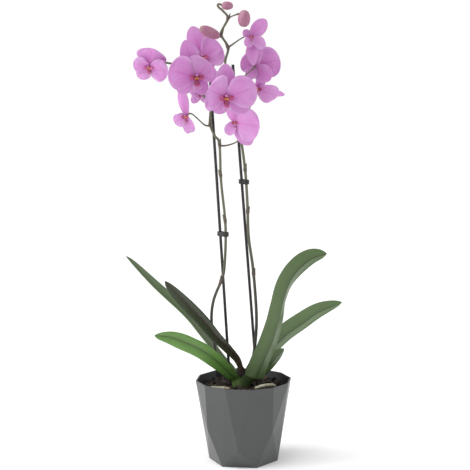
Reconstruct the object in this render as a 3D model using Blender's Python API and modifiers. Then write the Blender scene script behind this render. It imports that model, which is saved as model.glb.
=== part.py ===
"""Potted moth orchid: a faceted cover pot filled with bark, a rosette of fleshy leaves, and two
flower spikes clipped to stakes, with ten flowers and three buds.

Metres, +Z up. The origin is at the centre of the pot's flat underside and the front is -Y.
The lists of places below are in millimetres and are turned into metres where they are used.
"""

import math
import random

import bmesh
import bpy
from mathutils import Matrix, Vector

MM = 0.001
GAP = 0.0003  # clearance between pieces that touch

# Pot
POT_HEIGHT = 0.117
RIM_RADIUS = 0.068
BASE_RADIUS = 0.049
POT_TURN = math.radians(-7.5)  # the narrow front facet looks a little to the left
RIM_SIDES = 12
POT_WALL = 0.0022
POT_FLOOR = 0.005
FRONT_APEX = (0.060, 0.028)  # radius and height of the narrow front and back facets' low points
SIDE_APEX = (0.054, 0.033)
SHOULDER = (0.060, 0.052)
SHOULDER_ANGLE = 50  # degrees either side of the front and back facets
CAVITY_FLOOR_RADIUS = 0.043

# Bark
BARK_TOP = 0.105
BARK_ROUGHNESS = 0.002
BARK_SIDES = 24
BARK_RINGS = 4

# Crown
CROWN_CENTRE = (-4, 0)
CROWN_SIDES = 12
CROWN_WELL_RADIUS = 0.0105
CROWN_WELL_BOTTOM = 0.091
CROWN_RINGS = ((5, 92), (8, 97), (9.5, 108), (9, 122), (6, 132), (2.5, 136))  # radius, height

# Stems
STAKE_RADIUS = 0.002
SPIKE_RADIUS = 0.0022
PEDICEL_RADIUS = 0.0012
ROOT_RADIUS = 0.0024
SPIKE_TAPER = 0.42  # the share of its thickness that a spike loses towards its tip
STALK_END = 0.0022  # how far behind a flower's centre its stalk stops
STALK_STRAIGHT = 0.007

# Clips
CLIP_WALL = 0.0016
CLIP_HEIGHT = 0.006
CLIP_ARC_STEPS = 6

# Flowers
PETAL_THICKNESS = 0.0007
PETAL_STEP = 0.0022  # how far the petals stand in front of the sepals
SEPAL_HUB = 0.004
PETAL_HUB = 0.003
LIP_HUB = 0.0016
HUB_STEP = math.radians(60)  # the hub's rim has a corner at least this often
CLAW = 0.4  # half width of a petal's foot, as a share of its hub's radius
SHARES = (0.0, 0.16, 0.38, 0.62, 0.84, 0.97)  # rows along a petal
# width near the foot, place of the widest part and arch, as shares
SEPAL_SHAPE = (0.12, 0.50, 0.04)
PETAL_SHAPE = (0.05, 0.54, 0.05)
# Right, up and front of the petals' centre, for size 1: hub, tips and widths, in millimetres
LIP_CENTRE = (0, -3.6, 2.5)
SIDE_LOBE = ((9, 1.5, 4), 7)
MIDDLE_LOBE = ((0, -11, 6.5), 9)
COLUMN_RINGS = (  # up, front and radius
    (2.4, 1.3, 1.3), (2.6, 2.9, 1.5), (2.9, 4.5, 2.0), (2.7, 5.9, 1.8), (2.2, 6.8, 0.9),
)

# Leaves
LEAF_THICKNESS = 0.0018
LEAF_ROWS = 10
LEAF_WIDEST = 0.55  # share of the length

PARTS = "potted_orchid"
CUTTERS = "cutters"

# name: ((red, green, blue), roughness, metallic)
FINISHES = {
    "pot_grey": ((0.115, 0.118, 0.115), 0.42, 0.0),
    "bark_brown": ((0.055, 0.035, 0.022), 0.9, 0.0),
    "leaf_green": ((0.12, 0.26, 0.05), 0.4, 0.0),
    "spike_olive": ((0.13, 0.13, 0.06), 0.55, 0.0),
    "stake_dark": ((0.02, 0.018, 0.018), 0.5, 0.0),
    "clip_black": ((0.01, 0.01, 0.01), 0.35, 0.0),
    "root_pale": ((0.45, 0.42, 0.30), 0.7, 0.0),
    "sepal_pink": ((0.62, 0.27, 0.58), 0.55, 0.0),
    "petal_pink": ((0.66, 0.30, 0.62), 0.55, 0.0),
    "lip_magenta": ((0.55, 0.05, 0.16), 0.5, 0.0),
    "column_pink": ((0.75, 0.45, 0.66), 0.5, 0.0),
    "bud_rose": ((0.36, 0.13, 0.20), 0.5, 0.0),
}

# Upper end and lower end of each stake
STAKES = {
    "stake_left": ((-46, 5, 538), (-13.5, 5, 20)),
    "stake_right": ((-15, 8, 559.5), (26, 8, 20)),
}

# The stem of each flower spike, from the crown to its tip
SPIKES = {
    "flower_spike_left": [
        (-15.5, -2, 124), (-21, -2, 134), (-28, -1, 142), (-38, 1, 152), (-43, 2, 179.5),
        (-45, 1, 206.5), (-41.5, -1, 232), (-30.5, -2, 260.5), (-27, -2, 276), (-25, -2, 315),
        (-26, -2, 347.5),
        (-31.5, -1, 400.5), (-33.5, -1, 450), (-40, -1, 462), (-46.5, 0, 477.5), (-46, 1, 499),
        (-51, 4, 510), (-62, 7, 526.5), (-74, 8, 545), (-89.5, 6, 557), (-105, 6, 562),
        (-118, 4, 562), (-127, -3, 559.5),
    ],
    "flower_spike_right": [
        (8, 3, 124), (12, 2, 138), (17, 2, 174.5), (18, 2, 212.5), (13.5, 2, 272.5), (7, 2, 320),
        (5.5, 2, 361.5), (3.5, 2, 397.5), (1.5, 2, 419), (-3, 2, 451.5), (-10, 2, 486.5),
        (-16.5, 3, 514), (-22.5, 6, 540), (-25.5, 8, 563), (-21.5, 8, 583), (-31, 8, 602),
        (-22, 8, 622.5), (-28.5, 8, 633), (-33.5, 8, 637.2), (-35.8, 8, 640.5), (-34, 8, 642.6),
        (-31, 8, 641.3),
    ],
}

# name: centre, the way it faces, size of its lip and column, its top, left and right sepals and
# its left and right petals, each as its tip from the centre and its width
FLOWERS = {
    "flower_1": (
        (-65, -32, 545.5), (0.2, -1, 0.06), 1,
        [((-15, 3, 50), 27), ((-25, 4, -21), 22), ((12, 6, -24), 22)],
        [((-37, -9, 11), 48), ((18, 1, 20), 51)],
    ),
    "flower_2": (
        (-24, -56, 520.5), (0.1, -1, -0.05), 1,
        [((-1, 3, 45), 26), ((-15, 4, -22), 24), ((29, 5, -20), 24)],
        [((-24, -5, 12), 53), ((40, -3, 15), 46)],
    ),
    "flower_3": (
        (-10.5, -24, 483.5), (-0.45, -0.85, -0.1), 0.5,
        [((-4, 5, 26), 26), ((-13, 12, -14), 14), ((20, 2, -32), 28)],
        [((-12, 3.5, -17), 17), ((33, -19.5, -3), 48)],
    ),
    "flower_4": (
        (-128.5, -6, 558.5), (-0.35, -0.85, -0.35), 0.7,
        [((3, -8, 25), 44), ((-17, 15.5, -17), 22), ((15, 3.5, -20), 17)],
        [((-22, 1.5, 6), 26), ((26, -10, -6), 34)],
    ),
    "flower_5": (
        (-78, -22, 492), (-0.4, -0.85, -0.3), 0.6,
        [((-8, 3, 37), 17), ((-13, 9, -2), 10), ((1, 10, -26), 14)],
        [((-16, 7.5, -10), 20), ((9, 1, -22), 17)],
    ),
    "flower_6": (
        (-58, 30, 567), (0.1, -0.9, 0.3), 0.9,
        [((-14, 15, 43), 27), ((-12, -0.5, -20), 20), ((17, 4, -13), 20)],
        [((-20, -2.5, 2), 30), ((27, 3, 15), 46)],
    ),
    "flower_7": (
        (16, 26, 556), (0.2, 0.95, 0.1), 1,
        [((-3, -4.5, 34), 24), ((-10, -2.5, -18), 17), ((21, -6, -19), 27)],
        [((-20, 4.5, 8), 30), ((34, -1, 9), 44)],
    ),
    "flower_8": (
        (17.5, 50, 525), (0.3, -0.75, -0.45), 0.7,
        [((12, 6, 12), 20), ((-8, 8.5, -18), 15), ((41, 30, -14), 12)],
        [((-14, -0.5, -8), 20), ((30, 14, -13), 30)],
    ),
    "flower_9": (
        (-60.5, 28, 521.5), (-0.15, -0.9, -0.35), 0.6,
        [((0, -1, 18), 14), ((-11, 9, -18), 13), ((10, 9, -18), 13)],
        [((-14, 1, -1), 13), ((14, -3.5, 4), 13)],
    ),
    "flower_10": (
        (8.5, 2, 598), (0.45, -0.85, 0.1), 0.45,
        [((23, 16.5, 22), 22), ((5, 0, -39), 17), ((-9, -1, 9), 12)],
        [((-6, -5.5, -13), 15), ((20, 6.5, -15), 17)],
    ),
}

# The spike that each flower's stalk leaves and the points it passes, from inside the spike
STALKS = {
    "flower_1": ("flower_spike_left", [(-74, 8, 545), (-77, 4, 548), (-73, -14, 548)]),
    "flower_2": ("flower_spike_right", [(-16.5, 3, 514), (-14, -6, 519), (-18, -30, 522)]),
    "flower_3": ("flower_spike_left", [(-33, -1, 448), (-22.5, -4, 449), (-9, -9, 455),
                                       (-3, -12, 466), (-6, -12, 478)]),
    "flower_5": ("flower_spike_left", [(-47, 0, 475.5), (-54, -5, 477.5), (-65, -10, 488),
                                       (-71, -11, 493)]),
    "flower_6": ("flower_spike_right", [(-25, 7.5, 556), (-29, 18, 550), (-36, 34, 547),
                                         (-46, 44, 552), (-54, 43, 561)]),
    "flower_7": ("flower_spike_right", [(-20.7, 5.2, 533), (-13, 0.5, 536), (1, 6, 544),
                                        (10, 15, 551)]),
    "flower_8": ("flower_spike_right", [(-8, 2, 477), (-2, 3, 480), (1, 12, 485),
                                        (6, 40, 491), (12, 62, 502), (16, 66, 514)]),
    "flower_9": ("flower_spike_left", [(-62, 7, 526.5), (-67, 14, 533), (-70, 30, 535),
                                       (-66, 39, 528)]),
    "flower_10": ("flower_spike_right", [(-21.5, 8, 583), (-13, 8, 589), (-5, 8, 594.5),
                                         (2, 8, 598)]),
}

# name: centre, long axis, length and width
BUDS = {
    "bud_tip": ((-22.6, 8, 640.2), (1.0, 0.0, -0.04), 16, 11.5),
    "bud_right": ((0.5, 2, 623), (0.05, 0.0, 1.0), 23, 17),
    "bud_opening": ((-46.5, 2, 604), (0.88, 0.25, -0.4), 31, 15),
}

# Each bud's stalk on the right spike; the spike's own tip carries the last bud
BUD_STALKS = {
    "bud_right": [(-22, 8, 622.5), (-15, 6, 626.5), (-8, 3.5, 629)],
    "bud_opening": [(-29.4, 8, 598.8), (-31.7, 6.2, 597.3), (-33.5, 5.7, 598.1)],
}

# name: centre line from base to tip, side direction at base, middle and tip, width, base and fold
LEAVES = {
    "leaf_upper_left": (
        [(-16.5, 18, 124.5), (-30.5, 26, 137), (-57.5, 30, 171), (-84.5, 32, 204),
         (-129.5, 35, 246.5), (-166.5, 36, 287)],
        ((0.2, 1.0, 0.2), (0.2, 1.0, 0.22), (0.2, 1.0, 0.25)), 27, 0.60, 0.50,
    ),
    "leaf_dark_left": (
        [(-3.5, -12, 137), (-9, -13, 150), (-22, -14, 165.5), (-38.5, -15, 183.5),
         (-55.5, -15, 204.5), (-76, -17, 226.5), (-94, -18, 244.5), (-109.5, -18, 261)],
        ((0.5, -0.75, 0.35), (0.55, -0.60, 0.42), (0.6, -0.5, 0.5)), 26, 0.48, 0.35,
    ),
    "leaf_lower_left": (
        [(-13.5, -12, 122), (-30, -18, 140), (-54, -26, 161.5), (-78.5, -33, 176),
         (-100.5, -38, 185.5), (-123.5, -41, 188.5)],
        ((0.35, -0.6, 0.7), (0.32, -0.62, 0.7), (0.3, -0.65, 0.7)), 36, 0.55, 0.22,
    ),
    "leaf_upright_right": (
        [(16, -17, 122), (25, -19, 146), (37, -22, 173.5), (46.5, -22, 203.5),
         (52, -21, 230.5), (60.5, -18, 256.5), (75, -14, 277), (93.5, -11, 292),
         (116, -8, 298)],
        ((-0.85, -0.4, 0.3), (-0.68, -0.7, 0.2), (-0.5, -0.3, 0.8)), 43, 0.70, 0.30,
    ),
    "leaf_lower_right": (
        [(2, 12, 115.5), (13.5, 19, 125.5), (32, 22, 148), (57.5, 24, 174.5),
         (83, 24, 194), (108, 22, 211), (139, 18, 224)],
        ((-0.4, -0.55, 0.7), (-0.3, -0.58, 0.75), (-0.2, -0.6, 0.8)), 37, 0.50, 0.30,
    ),
    "leaf_short_right": (
        [(10, 1, 114.5), (22, 0, 126), (38.5, 1, 142), (57, 2, 160.5)],
        ((-0.6, -0.3, 0.75), (-0.5, -0.5, 0.7), (-0.4, -0.65, 0.6)), 27, 0.38, 0.30,
    ),
}

ROOTS = {
    "aerial_root_right": [(16, -26, 109.7), (22, -31, 113), (31, -32, 115.5), (39, -28, 115),
                          (45, -20, 111.5)],
    "aerial_root_left": [(-46, -24, 110), (-38, -31, 111.5), (-28, -34, 112), (-19, -33, 110.3)],
}

# name: the stake and spike that it joins, and its height
CLIPS = {
    "clip_left": ("stake_left", "flower_spike_left", 324),
    "clip_right": ("stake_right", "flower_spike_right", 397),
}


def mm(point):
    """A point given in millimetres, in metres."""
    return Vector(point) * MM


def polar(angle, radius, height):
    """A point around the pot: the angle is from its front facet, towards +X."""
    turned = angle + POT_TURN
    return Vector((radius * math.sin(turned), -radius * math.cos(turned), height))


def clear_scene():
    for old in list(bpy.data.objects):
        bpy.data.objects.remove(old, do_unlink=True)


def make_collection(name):
    group = bpy.data.collections.new(name)
    bpy.context.scene.collection.children.link(group)
    return group


def make_finish(name):
    colour, roughness, metallic = FINISHES[name]
    finish = bpy.data.materials.new(name)
    finish.use_nodes = True
    shader = finish.node_tree.nodes["Principled BSDF"]
    shader.inputs["Base Color"].default_value = (*colour, 1.0)
    shader.inputs["Roughness"].default_value = roughness
    shader.inputs["Metallic"].default_value = metallic
    return finish


def add_object(name, data, finish=None):
    """Puts mesh or curve data in the parts' collection, or in the cutters' with no finish."""
    made = bpy.data.objects.new(name, data)
    if finish:
        bpy.data.collections[PARTS].objects.link(made)
        data.materials.append(bpy.data.materials[finish])
    else:
        bpy.data.collections[CUTTERS].objects.link(made)
        made.hide_render = True
        made.display_type = "WIRE"
    return made


def finish_mesh(name, shape, finish=None, smooth=True):
    """Turns a bmesh into an object."""
    mesh = bpy.data.meshes.new(name)
    shape.to_mesh(mesh)
    shape.free()
    if smooth:
        mesh.shade_smooth()
        mesh.set_sharp_from_angle(angle=math.radians(40))
    return add_object(name, mesh, finish)


def boolean(target, tool, operation):
    step = target.modifiers.new(f"{operation.lower()}_{tool.name}", "BOOLEAN")
    step.operation = operation
    step.object = tool
    step.solver = "EXACT"


def ring_loft(rings):
    """A closed bmesh through rings of points, all of the same count, with fanned ends."""
    shape = bmesh.new()
    loops = [[shape.verts.new(p) for p in ring] for ring in rings]
    count = len(loops[0])
    for low, high in zip(loops, loops[1:]):
        for i in range(count):
            j = (i + 1) % count
            shape.faces.new((low[i], low[j], high[j], high[i]))
    for loop in (loops[0], loops[-1]):
        centre = shape.verts.new(sum((v.co for v in loop), Vector()) / count)
        for i in range(count):
            shape.faces.new((loop[i], loop[(i + 1) % count], centre))
    bmesh.ops.recalc_face_normals(shape, faces=shape.faces)
    return shape


def smooth_route(points, count):
    """Evenly numbered points on a smooth curve through all the given ones."""
    ends = [2 * points[0] - points[1], *points, 2 * points[-1] - points[-2]]
    spans = len(points) - 1
    route = []
    for step in range(count):
        along = spans * step / (count - 1)
        i = min(int(along), spans - 1)
        t = along - i
        a, b, c, d = ends[i:i + 4]
        route.append(
            0.5 * ((2 * b) + (c - a) * t + (2 * a - 5 * b + 4 * c - d) * t * t
                   + (3 * b - a - 3 * c + d) * t * t * t)
        )
    return route


def tube_mesh(name, points, radii):
    """The mesh of a round bar along the points, with its caps welded on."""
    curve = bpy.data.curves.new(name, "CURVE")
    curve.dimensions = "3D"
    curve.bevel_depth = 1.0
    curve.bevel_resolution = 2
    curve.use_fill_caps = True
    spline = curve.splines.new("POLY")
    spline.points.add(len(points) - 1)
    for point, place, radius in zip(spline.points, points, radii):
        point.co = (*place, 1.0)
        point.radius = radius
    guide = bpy.data.objects.new(name, curve)
    bpy.context.scene.collection.objects.link(guide)
    bpy.context.view_layer.update()
    evaluated = guide.evaluated_get(bpy.context.evaluated_depsgraph_get())
    mesh = bpy.data.meshes.new_from_object(evaluated)
    bpy.data.objects.remove(guide)
    shape = bmesh.new()
    shape.from_mesh(mesh)
    bpy.data.meshes.remove(mesh)
    bmesh.ops.remove_doubles(shape, verts=shape.verts, dist=0.00001)
    bmesh.ops.recalc_face_normals(shape, faces=shape.faces)
    return shape


# --- the pot and what fills it ---


def make_pot():
    shape = bmesh.new()
    half_step = math.pi / RIM_SIDES
    for i in range(RIM_SIDES):
        shape.verts.new(polar((2 * i + 1) * half_step, RIM_RADIUS, POT_HEIGHT))
    for degrees in range(30, 390, 60):
        shape.verts.new(polar(math.radians(degrees), BASE_RADIUS, 0))
    for turn in (0, 180):
        shape.verts.new(polar(math.radians(turn), *FRONT_APEX))
        shape.verts.new(polar(math.radians(turn + 90), *SIDE_APEX))
        for side in (-SHOULDER_ANGLE, SHOULDER_ANGLE):
            shape.verts.new(polar(math.radians(turn + side), *SHOULDER))
    bmesh.ops.convex_hull(shape, input=shape.verts)
    bmesh.ops.dissolve_limit(
        shape, angle_limit=math.radians(1.5), verts=shape.verts, edges=shape.edges
    )
    pot = finish_mesh("pot", shape, "pot_grey", smooth=False)
    boolean(pot, make_cavity("pot_cavity", 0.0, POT_FLOOR, POT_HEIGHT + 0.01), "DIFFERENCE")


def cavity_radius(height):
    """Corner radius of the pot's inside at a height."""
    corner = RIM_RADIUS - POT_WALL / math.cos(math.pi / RIM_SIDES)
    share = (height - POT_FLOOR) / (POT_HEIGHT - POT_FLOOR)
    return CAVITY_FLOOR_RADIUS + (corner - CAVITY_FLOOR_RADIUS) * share


def make_cavity(name, inset, bottom, top):
    half_step = math.pi / RIM_SIDES
    rings = [
        [polar((2 * i + 1) * half_step, cavity_radius(z) - inset, z) for i in range(RIM_SIDES)]
        for z in (bottom, top)
    ]
    return finish_mesh(name, ring_loft(rings))


def make_bark():
    """The bark's rough top on a body that fills the pot, with room for what stands in it."""
    draw = random.Random(7)
    rings = []
    edge = cavity_radius(BARK_TOP) * math.cos(math.pi / RIM_SIDES) - 2 * GAP
    floor_edge = CAVITY_FLOOR_RADIUS * math.cos(math.pi / RIM_SIDES) - 2 * GAP
    angles = [2 * math.pi * i / BARK_SIDES for i in range(BARK_SIDES)]
    rings.append([polar(a, floor_edge, POT_FLOOR + GAP) for a in angles])
    rings.append([polar(a, edge, BARK_TOP) for a in angles])
    for ring in range(1, BARK_RINGS):
        radius = edge * (1 - ring / BARK_RINGS)
        rings.append([
            polar(a, radius, BARK_TOP + draw.uniform(0, BARK_ROUGHNESS)) for a in angles
        ])
    bark = finish_mesh("bark_mix", ring_loft(rings), "bark_brown", smooth=False)
    for name, (top, bottom) in STAKES.items():
        foot = mm(bottom) + (mm(bottom) - mm(top)).normalized() * GAP
        hole = [foot, mm(top)]
        boolean(bark, tube_cutter(f"{name}_hole", hole, STAKE_RADIUS + GAP), "DIFFERENCE")
    centre = mm((*CROWN_CENTRE, 0))
    well = [centre + Vector((0, 0, z)) for z in (CROWN_WELL_BOTTOM, POT_HEIGHT)]
    boolean(bark, tube_cutter("crown_well", well, CROWN_WELL_RADIUS), "DIFFERENCE")


def tube_cutter(name, points, radius):
    return finish_mesh(name, tube_mesh(name, points, [radius] * len(points)))


def make_crown():
    rings = []
    for radius, height in CROWN_RINGS:
        ring = []
        for i in range(CROWN_SIDES):
            angle = 2 * math.pi * i / CROWN_SIDES
            ring.append(mm((CROWN_CENTRE[0] + radius * math.cos(angle),
                            CROWN_CENTRE[1] + radius * math.sin(angle), height)))
        rings.append(ring)
    finish_mesh("plant_crown", ring_loft(rings), "leaf_green")


def make_roots():
    for name, points in ROOTS.items():
        route = smooth_route([mm(p) for p in points], 4 * len(points))
        radii = [ROOT_RADIUS] * len(route)
        finish_mesh(name, tube_mesh(name, route, radii), "root_pale")


# --- leaves ---


def strap_width(share, base):
    """Half width of a strap leaf along its length, as a share of the widest."""
    if share < LEAF_WIDEST:
        return base + (1 - base) * math.sin(0.5 * math.pi * share / LEAF_WIDEST)
    beyond = (share - LEAF_WIDEST) / (1 - LEAF_WIDEST)
    return max(0.10, (1 - beyond ** 2.2) ** 0.7)


def side_direction(sides, share):
    """Between the side directions at a leaf's base, middle and tip."""
    low, middle, high = [Vector(side) for side in sides]
    if share < 0.5:
        return low.lerp(middle, 2 * share)
    return middle.lerp(high, 2 * share - 1)


def make_leaf(name, points, sides, width, base, fold):
    halves = 2
    line = smooth_route([mm(p) for p in points], LEAF_ROWS + 1)
    shape = bmesh.new()
    grid = []
    for i, place in enumerate(line):
        share = i / LEAF_ROWS
        ahead = (line[min(i + 1, LEAF_ROWS)] - line[max(i - 1, 0)]).normalized()
        side = side_direction(sides, share)
        side = (side - ahead * side.dot(ahead)).normalized()
        normal = side.cross(ahead)
        half = 0.5 * width * MM * strap_width(share, base)
        row = []
        for j in range(-halves, halves + 1):
            across = j / halves
            row.append(shape.verts.new(
                place + side * across * half + normal * fold * abs(across) * half
            ))
        grid.append(row)
    for low, high in zip(grid, grid[1:]):
        for j in range(2 * halves):
            shape.faces.new((low[j], low[j + 1], high[j + 1], high[j]))
    leaf = finish_mesh(name, shape, "leaf_green")
    thicken(leaf, LEAF_THICKNESS)


def thicken(sheet, thickness):
    shell = sheet.modifiers.new("thickness", "SOLIDIFY")
    shell.thickness = thickness
    shell.offset = -1.0


# --- flowers ---


def flower_axes(facing):
    """Right, up and front of a flower, for someone it faces."""
    front = Vector(facing).normalized()
    up = (Vector((0, 0, 1)) - front * front.z).normalized()
    return up.cross(front), up, front


def lobe_width(share, claw, peak):
    """Half width along a petal or sepal, as a share of the widest."""
    if share < peak:
        return claw + (1 - claw) * math.sin(0.5 * math.pi * share / peak)
    return math.sqrt(max(0.0, 1 - ((share - peak) / (1 - peak)) ** 2))


def lobed_sheet(name, place, axes, hub, lobes, halves, finish):
    """One sheet of several lobes around a hub; each lobe is (tip from the hub, width, shape)."""
    right, up, front = axes
    shape = bmesh.new()
    base_loop = []
    for tip, width, (claw, peak, arch) in lobes:
        length = tip.length
        out = tip.normalized()
        normal = (front - out * front.dot(out)).normalized()
        side = out.cross(normal)
        grid = []
        for share in SHARES:
            centre = place + out * (hub + share * (length - hub))
            centre = centre + normal * arch * length * math.sin(math.pi * share)
            half = 0.5 * width * lobe_width(share, claw, peak)
            if share == 0.0:
                half = min(half, CLAW * hub)
            grid.append([
                shape.verts.new(centre + side * half * j / halves)
                for j in range(-halves, halves + 1)
            ])
        for low, high in zip(grid, grid[1:]):
            for j in range(2 * halves):
                shape.faces.new((low[j], high[j], high[j + 1], low[j + 1]))
        base_loop += grid[0]

    def bearing(vert):
        offset = vert.co - place
        return math.atan2(offset.dot(right), offset.dot(up))

    base_loop.sort(key=bearing)
    rim = []
    for vert, after in zip(base_loop, base_loop[1:] + base_loop[:1]):
        rim.append(vert)
        start = bearing(vert)
        between = (bearing(after) - start) % (2 * math.pi)
        extra = int(between / HUB_STEP)
        for i in range(1, extra + 1):
            angle = start + between * i / (extra + 1)
            spot = place + (right * math.sin(angle) + up * math.cos(angle)) * hub
            rim.append(shape.verts.new(spot))
    centre = shape.verts.new(place)
    for i, vert in enumerate(rim):
        shape.faces.new((vert, centre, rim[(i + 1) % len(rim)]))
    bmesh.ops.recalc_face_normals(shape, faces=shape.faces)
    shape.normal_update()
    if centre.normal.dot(front) < 0:
        bmesh.ops.reverse_faces(shape, faces=shape.faces)
    sheet = finish_mesh(name, shape, finish)
    thicken(sheet, PETAL_THICKNESS)


def make_flower(name, centre, facing, size, sepals, petals):
    axes = flower_axes(facing)
    place = mm(centre)
    lobes = [(mm(tip), width * MM, SEPAL_SHAPE) for tip, width in sepals]
    lobed_sheet(f"{name}_sepals", place, axes, SEPAL_HUB, lobes, 1, "sepal_pink")
    lobes = [(mm(tip), width * MM, PETAL_SHAPE) for tip, width in petals]
    step = place + axes[2] * PETAL_STEP
    lobed_sheet(f"{name}_petals", step, axes, PETAL_HUB, lobes, 2, "petal_pink")
    make_lip(f"{name}_lip", step, axes, size)
    make_column(f"{name}_column", step, axes, size)


def from_centre(axes, right, up, front):
    """A distance in millimetres along a flower's axes."""
    return (axes[0] * right + axes[1] * up + axes[2] * front) * MM


def make_lip(name, place, axes, size):
    """The three-lobed lip: two flared side lobes and a longer middle one."""
    side_tip, side_width = SIDE_LOBE
    middle_tip, middle_width = MIDDLE_LOBE
    lobes = [
        (from_centre(axes, turn * side_tip[0], *side_tip[1:]) * size,
         side_width * MM * size, SEPAL_SHAPE)
        for turn in (-1, 1)
    ]
    lobes.append((from_centre(axes, *middle_tip) * size, middle_width * MM * size, SEPAL_SHAPE))
    hub = place + from_centre(axes, *LIP_CENTRE) * size
    lobed_sheet(name, hub, axes, LIP_HUB * size, lobes, 1, "lip_magenta")


def make_column(name, place, axes, size):
    right, up, _ = axes
    rings = []
    for rise, along, radius in COLUMN_RINGS:
        centre = place + from_centre(axes, 0, rise, along) * size
        rings.append([
            centre + (right * math.cos(a) + up * math.sin(a)) * radius * size * MM
            for a in [2 * math.pi * i / 8 for i in range(8)]
        ])
    finish_mesh(name, ring_loft(rings), "column_pink")


def make_bud(name, centre, axis, length, width):
    along = Vector(axis).normalized()
    side = along.orthogonal().normalized()
    other = along.cross(side)
    rings = []
    for i in range(1, 8):
        t = math.pi * i / 8
        radius = 0.5 * width * MM * math.sin(t) ** 0.8
        offset = along * (-0.5 * length * MM * math.cos(t))
        rings.append([
            mm(centre) + offset + (side * math.cos(a) + other * math.sin(a)) * radius
            for a in [2 * math.pi * j / 10 for j in range(10)]
        ])
    finish_mesh(name, ring_loft(rings), "bud_rose")


# --- stems ---


def make_stake(name, top, bottom):
    route = [mm(bottom), mm(top)]
    finish_mesh(name, tube_mesh(name, route, [STAKE_RADIUS] * 2), "stake_dark")


def stalk_end(flower):
    """The last two points of a flower's stalk, straight behind its centre."""
    centre, facing = FLOWERS[flower][:2]
    front = Vector(facing).normalized()
    return [mm(centre) - front * STALK_STRAIGHT, mm(centre) - front * STALK_END]


def make_spike(name, points):
    route = smooth_route([mm(p) for p in points], 2 * len(points) + 1)
    count = len(route)
    radii = [SPIKE_RADIUS * (1 - SPIKE_TAPER * i / count) for i in range(count)]
    spike = finish_mesh(name, tube_mesh(name, route, radii), "spike_olive")
    for flower, (owner, passed) in STALKS.items():
        if owner == name:
            add_stalk(spike, flower, [mm(p) for p in passed] + stalk_end(flower))
    if name == "flower_spike_right":
        for bud, passed in BUD_STALKS.items():
            add_stalk(spike, bud, [mm(p) for p in passed])


def add_stalk(spike, name, points):
    route = smooth_route(points, 2 * len(points))
    stalk = tube_mesh(name, route, [PEDICEL_RADIUS] * len(route))
    boolean(spike, finish_mesh(f"{name}_stalk", stalk), "UNION")


def route_at_height(points, height):
    for low, high in zip(points, points[1:]):
        if low.z <= height <= high.z:
            return low.lerp(high, (height - low.z) / (high.z - low.z))
    return points[-1]


def make_clip(name, stake, spike, height):
    """A flat ring around a stake and a spike at one height."""
    top, bottom = STAKES[stake]
    z = height * MM
    one = route_at_height([mm(bottom), mm(top)], z)
    two = route_at_height(smooth_route([mm(p) for p in SPIKES[spike]], 60), z)
    towards = (two - one).normalized()
    across = Vector((0, 0, 1)).cross(towards).normalized()
    inner = SPIKE_RADIUS + 2 * GAP

    def stadium(radius, level):
        ring = []
        for centre, start in ((one, 0.5 * math.pi), (two, -0.5 * math.pi)):
            for i in range(CLIP_ARC_STEPS + 1):
                angle = start + math.pi * i / CLIP_ARC_STEPS
                offset = towards * math.cos(angle) + across * math.sin(angle)
                ring.append(Vector((centre.x, centre.y, level)) + offset * radius)
        return ring

    low, high = z - 0.5 * CLIP_HEIGHT, z + 0.5 * CLIP_HEIGHT
    outer = ring_loft([stadium(inner + CLIP_WALL, low), stadium(inner + CLIP_WALL, high)])
    clip = finish_mesh(name, outer, "clip_black")
    slot = ring_loft([stadium(inner, low - 0.001), stadium(inner, high + 0.001)])
    boolean(clip, finish_mesh(f"{name}_slot", slot), "DIFFERENCE")


def main():
    clear_scene()
    make_collection(PARTS)
    make_collection(CUTTERS)
    for name in FINISHES:
        make_finish(name)
    make_pot()
    make_bark()
    make_crown()
    make_roots()
    for name, leaf in LEAVES.items():
        make_leaf(name, *leaf)
    for name, (top, bottom) in STAKES.items():
        make_stake(name, top, bottom)
    for name, points in SPIKES.items():
        make_spike(name, points)
    for name, clip in CLIPS.items():
        make_clip(name, *clip)
    for name, flower in FLOWERS.items():
        make_flower(name, *flower)
    for name, bud in BUDS.items():
        make_bud(name, *bud)


main()
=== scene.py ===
"""Looks of the potted moth orchid: finished petals, leaves, stems, bark and pot over the CAD model.

The lists of places are in millimetres, in the CAD model's frame: +Z up, the front is -Y.
"""

import math
import random

import bmesh
import bpy
from mathutils import Matrix, Vector, noise


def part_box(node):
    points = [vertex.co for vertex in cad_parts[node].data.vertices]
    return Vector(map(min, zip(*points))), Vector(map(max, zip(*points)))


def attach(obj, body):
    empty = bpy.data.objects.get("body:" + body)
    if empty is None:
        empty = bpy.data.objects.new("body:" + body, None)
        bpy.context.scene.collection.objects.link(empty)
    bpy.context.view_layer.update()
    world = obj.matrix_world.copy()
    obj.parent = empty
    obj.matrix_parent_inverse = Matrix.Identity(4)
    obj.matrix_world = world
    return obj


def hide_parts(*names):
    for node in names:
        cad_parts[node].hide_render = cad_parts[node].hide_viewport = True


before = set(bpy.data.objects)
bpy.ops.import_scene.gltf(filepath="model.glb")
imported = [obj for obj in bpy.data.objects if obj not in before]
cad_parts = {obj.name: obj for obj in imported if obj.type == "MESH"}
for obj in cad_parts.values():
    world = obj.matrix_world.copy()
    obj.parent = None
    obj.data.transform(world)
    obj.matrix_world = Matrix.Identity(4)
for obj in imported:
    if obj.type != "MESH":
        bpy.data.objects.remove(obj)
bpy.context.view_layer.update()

MM = 0.001
WELD = 1e-6  # points closer than this are one

# Outputs of shader nodes, by number
OBJECT_COORDINATES = 3
POINTINESS = 7
FACTOR = 2
FACTOR_OF_WAVE = 1

# Camera
CAMERA_TARGET = Vector((-0.012, 0.0, 0.3228))
CAMERA_DISTANCE = 2.73
CAMERA_ELEVATION = math.radians(9.3)
CAMERA_LENS = 150
CAMERA_SENSOR = 36

# Studio
SKY_LIGHT = 0.50
FLOOR_REACH = 6
FLOOR_GLOW = 0.14  # keeps the far floor as white as the backdrop
LAMP_AIM = Vector((0, 0, 0.3))
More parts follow.
